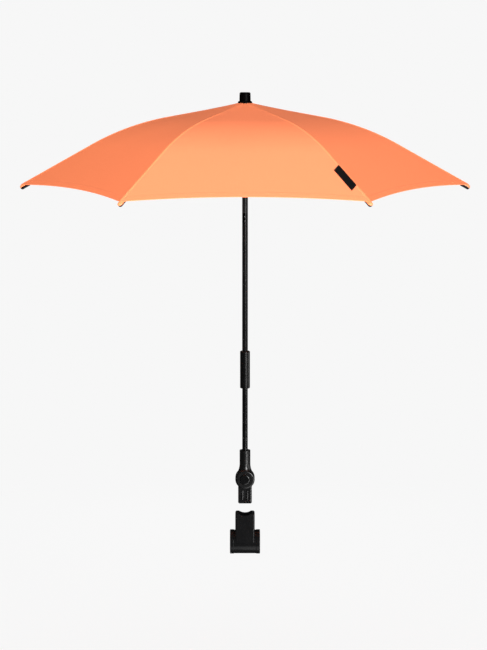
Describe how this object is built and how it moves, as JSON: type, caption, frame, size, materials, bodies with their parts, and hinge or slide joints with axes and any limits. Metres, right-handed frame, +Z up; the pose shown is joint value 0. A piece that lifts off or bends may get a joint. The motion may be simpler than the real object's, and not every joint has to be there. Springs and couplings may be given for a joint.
{
  "type": "pram parasol",
  "caption": "Small folding sunshade with a fabric canopy on a hinged pole that plugs into a push-fit clip for a pram's frame tube.",
  "frame": {"origin": "on the axis of the pram tube that the clip takes, midway along the clip", "axes": "+X along the tube, +Z up the pole, the front of the parasol faces -Y"},
  "size_m": [0.7024, 0.6094, 0.7384],
  "materials": {
    "canopy_fabric": "fine plain weave",
    "label_fabric": "woven tape",
    "black_plastic": "fine moulded grain",
    "button_plastic": "satin",
    "pole_metal": "black powder coat",
    "rib_fibre": "drawn fibre rod",
    "steel": "plain steel",
    "rubber": "matt"
  },
  "bodies": {
    "clip": {"clip_body": "black_plastic", "clip_liner": "rubber"},
    "plug": {"plug_body": "black_plastic"},
    "lower_pole": {"knuckle_front_shell": "black_plastic", "knuckle_rear_shell": "black_plastic", "knuckle_screws": "steel", "pivot_bush": "steel", "clutch_spring": "steel", "lower_pole_tube": "pole_metal", "hinge_tongue": "steel"},
    "button": {"release_button": "button_plastic", "clutch_plate": "steel"},
    "upper_pole": {"upper_pole_tube": "pole_metal", "hinge_fork": "steel", "hinge_pin": "steel", "crown": "black_plastic", "crown_pins": "steel", "canopy_washer": "black_plastic", "ferrule_cap": "black_plastic", "catch_block": "black_plastic", "catch_rivets": "steel"},
    "sleeve": {"lock_sleeve": "black_plastic"},
    "runner": {"runner": "black_plastic"},
    "catch": {"runner_catch": "steel"},
    "rib_1": {"rib_1": "rib_fibre", "rib_tip_1": "black_plastic", "canopy_panel_1": "canopy_fabric", "stretcher_rivet_1": "steel"},
    "stretcher_1": {"stretcher_1": "rib_fibre"},
    "rib_2": {"rib_2": "rib_fibre", "rib_tip_2": "black_plastic", "canopy_panel_2": "canopy_fabric", "stretcher_rivet_2": "steel"},
    "stretcher_2": {"stretcher_2": "rib_fibre"},
    "rib_3": {"rib_3": "rib_fibre", "rib_tip_3": "black_plastic", "canopy_panel_3": "canopy_fabric", "stretcher_rivet_3": "steel"},
    "stretcher_3": {"stretcher_3": "rib_fibre"},
    "rib_4": {"rib_4": "rib_fibre", "rib_tip_4": "black_plastic", "canopy_panel_4": "canopy_fabric", "stretcher_rivet_4": "steel"},
    "stretcher_4": {"stretcher_4": "rib_fibre"},
    "rib_5": {"rib_5": "rib_fibre", "rib_tip_5": "black_plastic", "canopy_panel_5": "canopy_fabric", "stretcher_rivet_5": "steel"},
    "stretcher_5": {"stretcher_5": "rib_fibre"},
    "rib_6": {"rib_6": "rib_fibre", "rib_tip_6": "black_plastic", "canopy_panel_6": "canopy_fabric", "stretcher_rivet_6": "steel", "canopy_label": "label_fabric"},
    "stretcher_6": {"stretcher_6": "rib_fibre"}
  },
  "joints": [
    {"name": "plug_insert", "type": "slide", "parent": "clip", "child": "plug", "axis": [0, 0, 1], "range_m": [-0.0435, 0]},
    {"name": "knuckle_tilt", "type": "hinge", "parent": "plug", "child": "lower_pole", "pos_m": [0, 0, 0.105], "axis": [0, 1, 0], "range_deg": [-90, 90]},
    {"name": "button_press", "type": "slide", "parent": "lower_pole", "child": "button", "axis": [0, 1, 0], "range_m": [0, 0.0025], "stiffness_N_per_m": 600, "springref_m": -0.004, "deforming": ["clutch_spring"]},
    {"name": "mid_tilt", "type": "hinge", "parent": "lower_pole", "child": "upper_pole", "pos_m": [0, 0, 0.262], "axis": [0, 1, 0], "range_deg": [0, 60]},
    {"name": "sleeve_slide", "type": "slide", "parent": "upper_pole", "child": "sleeve", "axis": [0, 0, 1], "range_m": [0, 0.036]},
    {"name": "canopy_fold", "type": "slide", "parent": "upper_pole", "child": "runner", "axis": [0, 0, -1], "range_m": [0, 0.1571], "deforming": ["canopy_panel_1", "canopy_panel_2", "canopy_panel_3", "canopy_panel_4", "canopy_panel_5", "canopy_panel_6", "canopy_label", "runner_catch"]},
    {"name": "catch_press", "type": "hinge", "parent": "upper_pole", "child": "catch", "pos_m": [0, 0.0016, 0.5175], "axis": [1, 0, 0], "range_deg": [0, 3.4], "stiffness_Nm_per_rad": 0.3, "springref_deg": -2.86},
    {"name": "rib_1_fold", "type": "hinge", "parent": "upper_pole", "child": "rib_1", "pos_m": [0.011, 0, 0.6953], "axis": [0, 1, 0], "range_deg": [0, 69.5]},
    {"name": "stretcher_1_fold", "type": "hinge", "parent": "rib_1", "child": "stretcher_1", "pos_m": [0.13, 0, 0.66987], "axis": [0, 1, 0], "range_deg": [-118.14, 0]},
    {"name": "rib_2_fold", "type": "hinge", "parent": "upper_pole", "child": "rib_2", "pos_m": [0.0055, 0.00953, 0.6953], "axis": [-0.866, 0.5, 0], "range_deg": [0, 69.5]},
    {"name": "stretcher_2_fold", "type": "hinge", "parent": "rib_2", "child": "stretcher_2", "pos_m": [0.065, 0.11258, 0.66987], "axis": [-0.866, 0.5, 0], "range_deg": [-118.14, 0]},
    {"name": "rib_3_fold", "type": "hinge", "parent": "upper_pole", "child": "rib_3", "pos_m": [-0.0055, 0.00953, 0.6953], "axis": [-0.866, -0.5, 0], "range_deg": [0, 69.5]},
    {"name": "stretcher_3_fold", "type": "hinge", "parent": "rib_3", "child": "stretcher_3", "pos_m": [-0.065, 0.11258, 0.66987], "axis": [-0.866, -0.5, 0], "range_deg": [-118.14, 0]},
    {"name": "rib_4_fold", "type": "hinge", "parent": "upper_pole", "child": "rib_4", "pos_m": [-0.011, 0, 0.6953], "axis": [0, -1, 0], "range_deg": [0, 69.5]},
    {"name": "stretcher_4_fold", "type": "hinge", "parent": "rib_4", "child": "stretcher_4", "pos_m": [-0.13, 0, 0.66987], "axis": [0, -1, 0], "range_deg": [-118.14, 0]},
    {"name": "rib_5_fold", "type": "hinge", "parent": "upper_pole", "child": "rib_5", "pos_m": [-0.0055, -0.00953, 0.6953], "axis": [0.866, -0.5, 0], "range_deg": [0, 69.5]},
    {"name": "stretcher_5_fold", "type": "hinge", "parent": "rib_5", "child": "stretcher_5", "pos_m": [-0.065, -0.11258, 0.66987], "axis": [0.866, -0.5, 0], "range_deg": [-118.14, 0]},
    {"name": "rib_6_fold", "type": "hinge", "parent": "upper_pole", "child": "rib_6", "pos_m": [0.0055, -0.00953, 0.6953], "axis": [0.866, 0.5, 0], "range_deg": [0, 69.5]},
    {"name": "stretcher_6_fold", "type": "hinge", "parent": "rib_6", "child": "stretcher_6", "pos_m": [0.065, -0.11258, 0.66987], "axis": [0.866, 0.5, 0], "range_deg": [-118.14, 0]}
  ],
  "couplings": [
    {"joint": "sleeve_slide", "follows": "mid_tilt", "m_per_rad": 0.033},
    {"joint": "rib_1_fold", "follows": "canopy_fold", "rad_per_m": 7.6657},
    {"joint": "stretcher_1_fold", "follows": "canopy_fold", "rad_per_m": -13.07},
    {"joint": "rib_2_fold", "follows": "canopy_fold", "rad_per_m": 7.6657},
    {"joint": "stretcher_2_fold", "follows": "canopy_fold", "rad_per_m": -13.07},
    {"joint": "rib_3_fold", "follows": "canopy_fold", "rad_per_m": 7.6657},
    {"joint": "stretcher_3_fold", "follows": "canopy_fold", "rad_per_m": -13.07},
    {"joint": "rib_4_fold", "follows": "canopy_fold", "rad_per_m": 7.6657},
    {"joint": "stretcher_4_fold", "follows": "canopy_fold", "rad_per_m": -13.07},
    {"joint": "rib_5_fold", "follows": "canopy_fold", "rad_per_m": 7.6657},
    {"joint": "stretcher_5_fold", "follows": "canopy_fold", "rad_per_m": -13.07},
    {"joint": "rib_6_fold", "follows": "canopy_fold", "rad_per_m": 7.6657},
    {"joint": "stretcher_6_fold", "follows": "canopy_fold", "rad_per_m": -13.07}
  ]
}
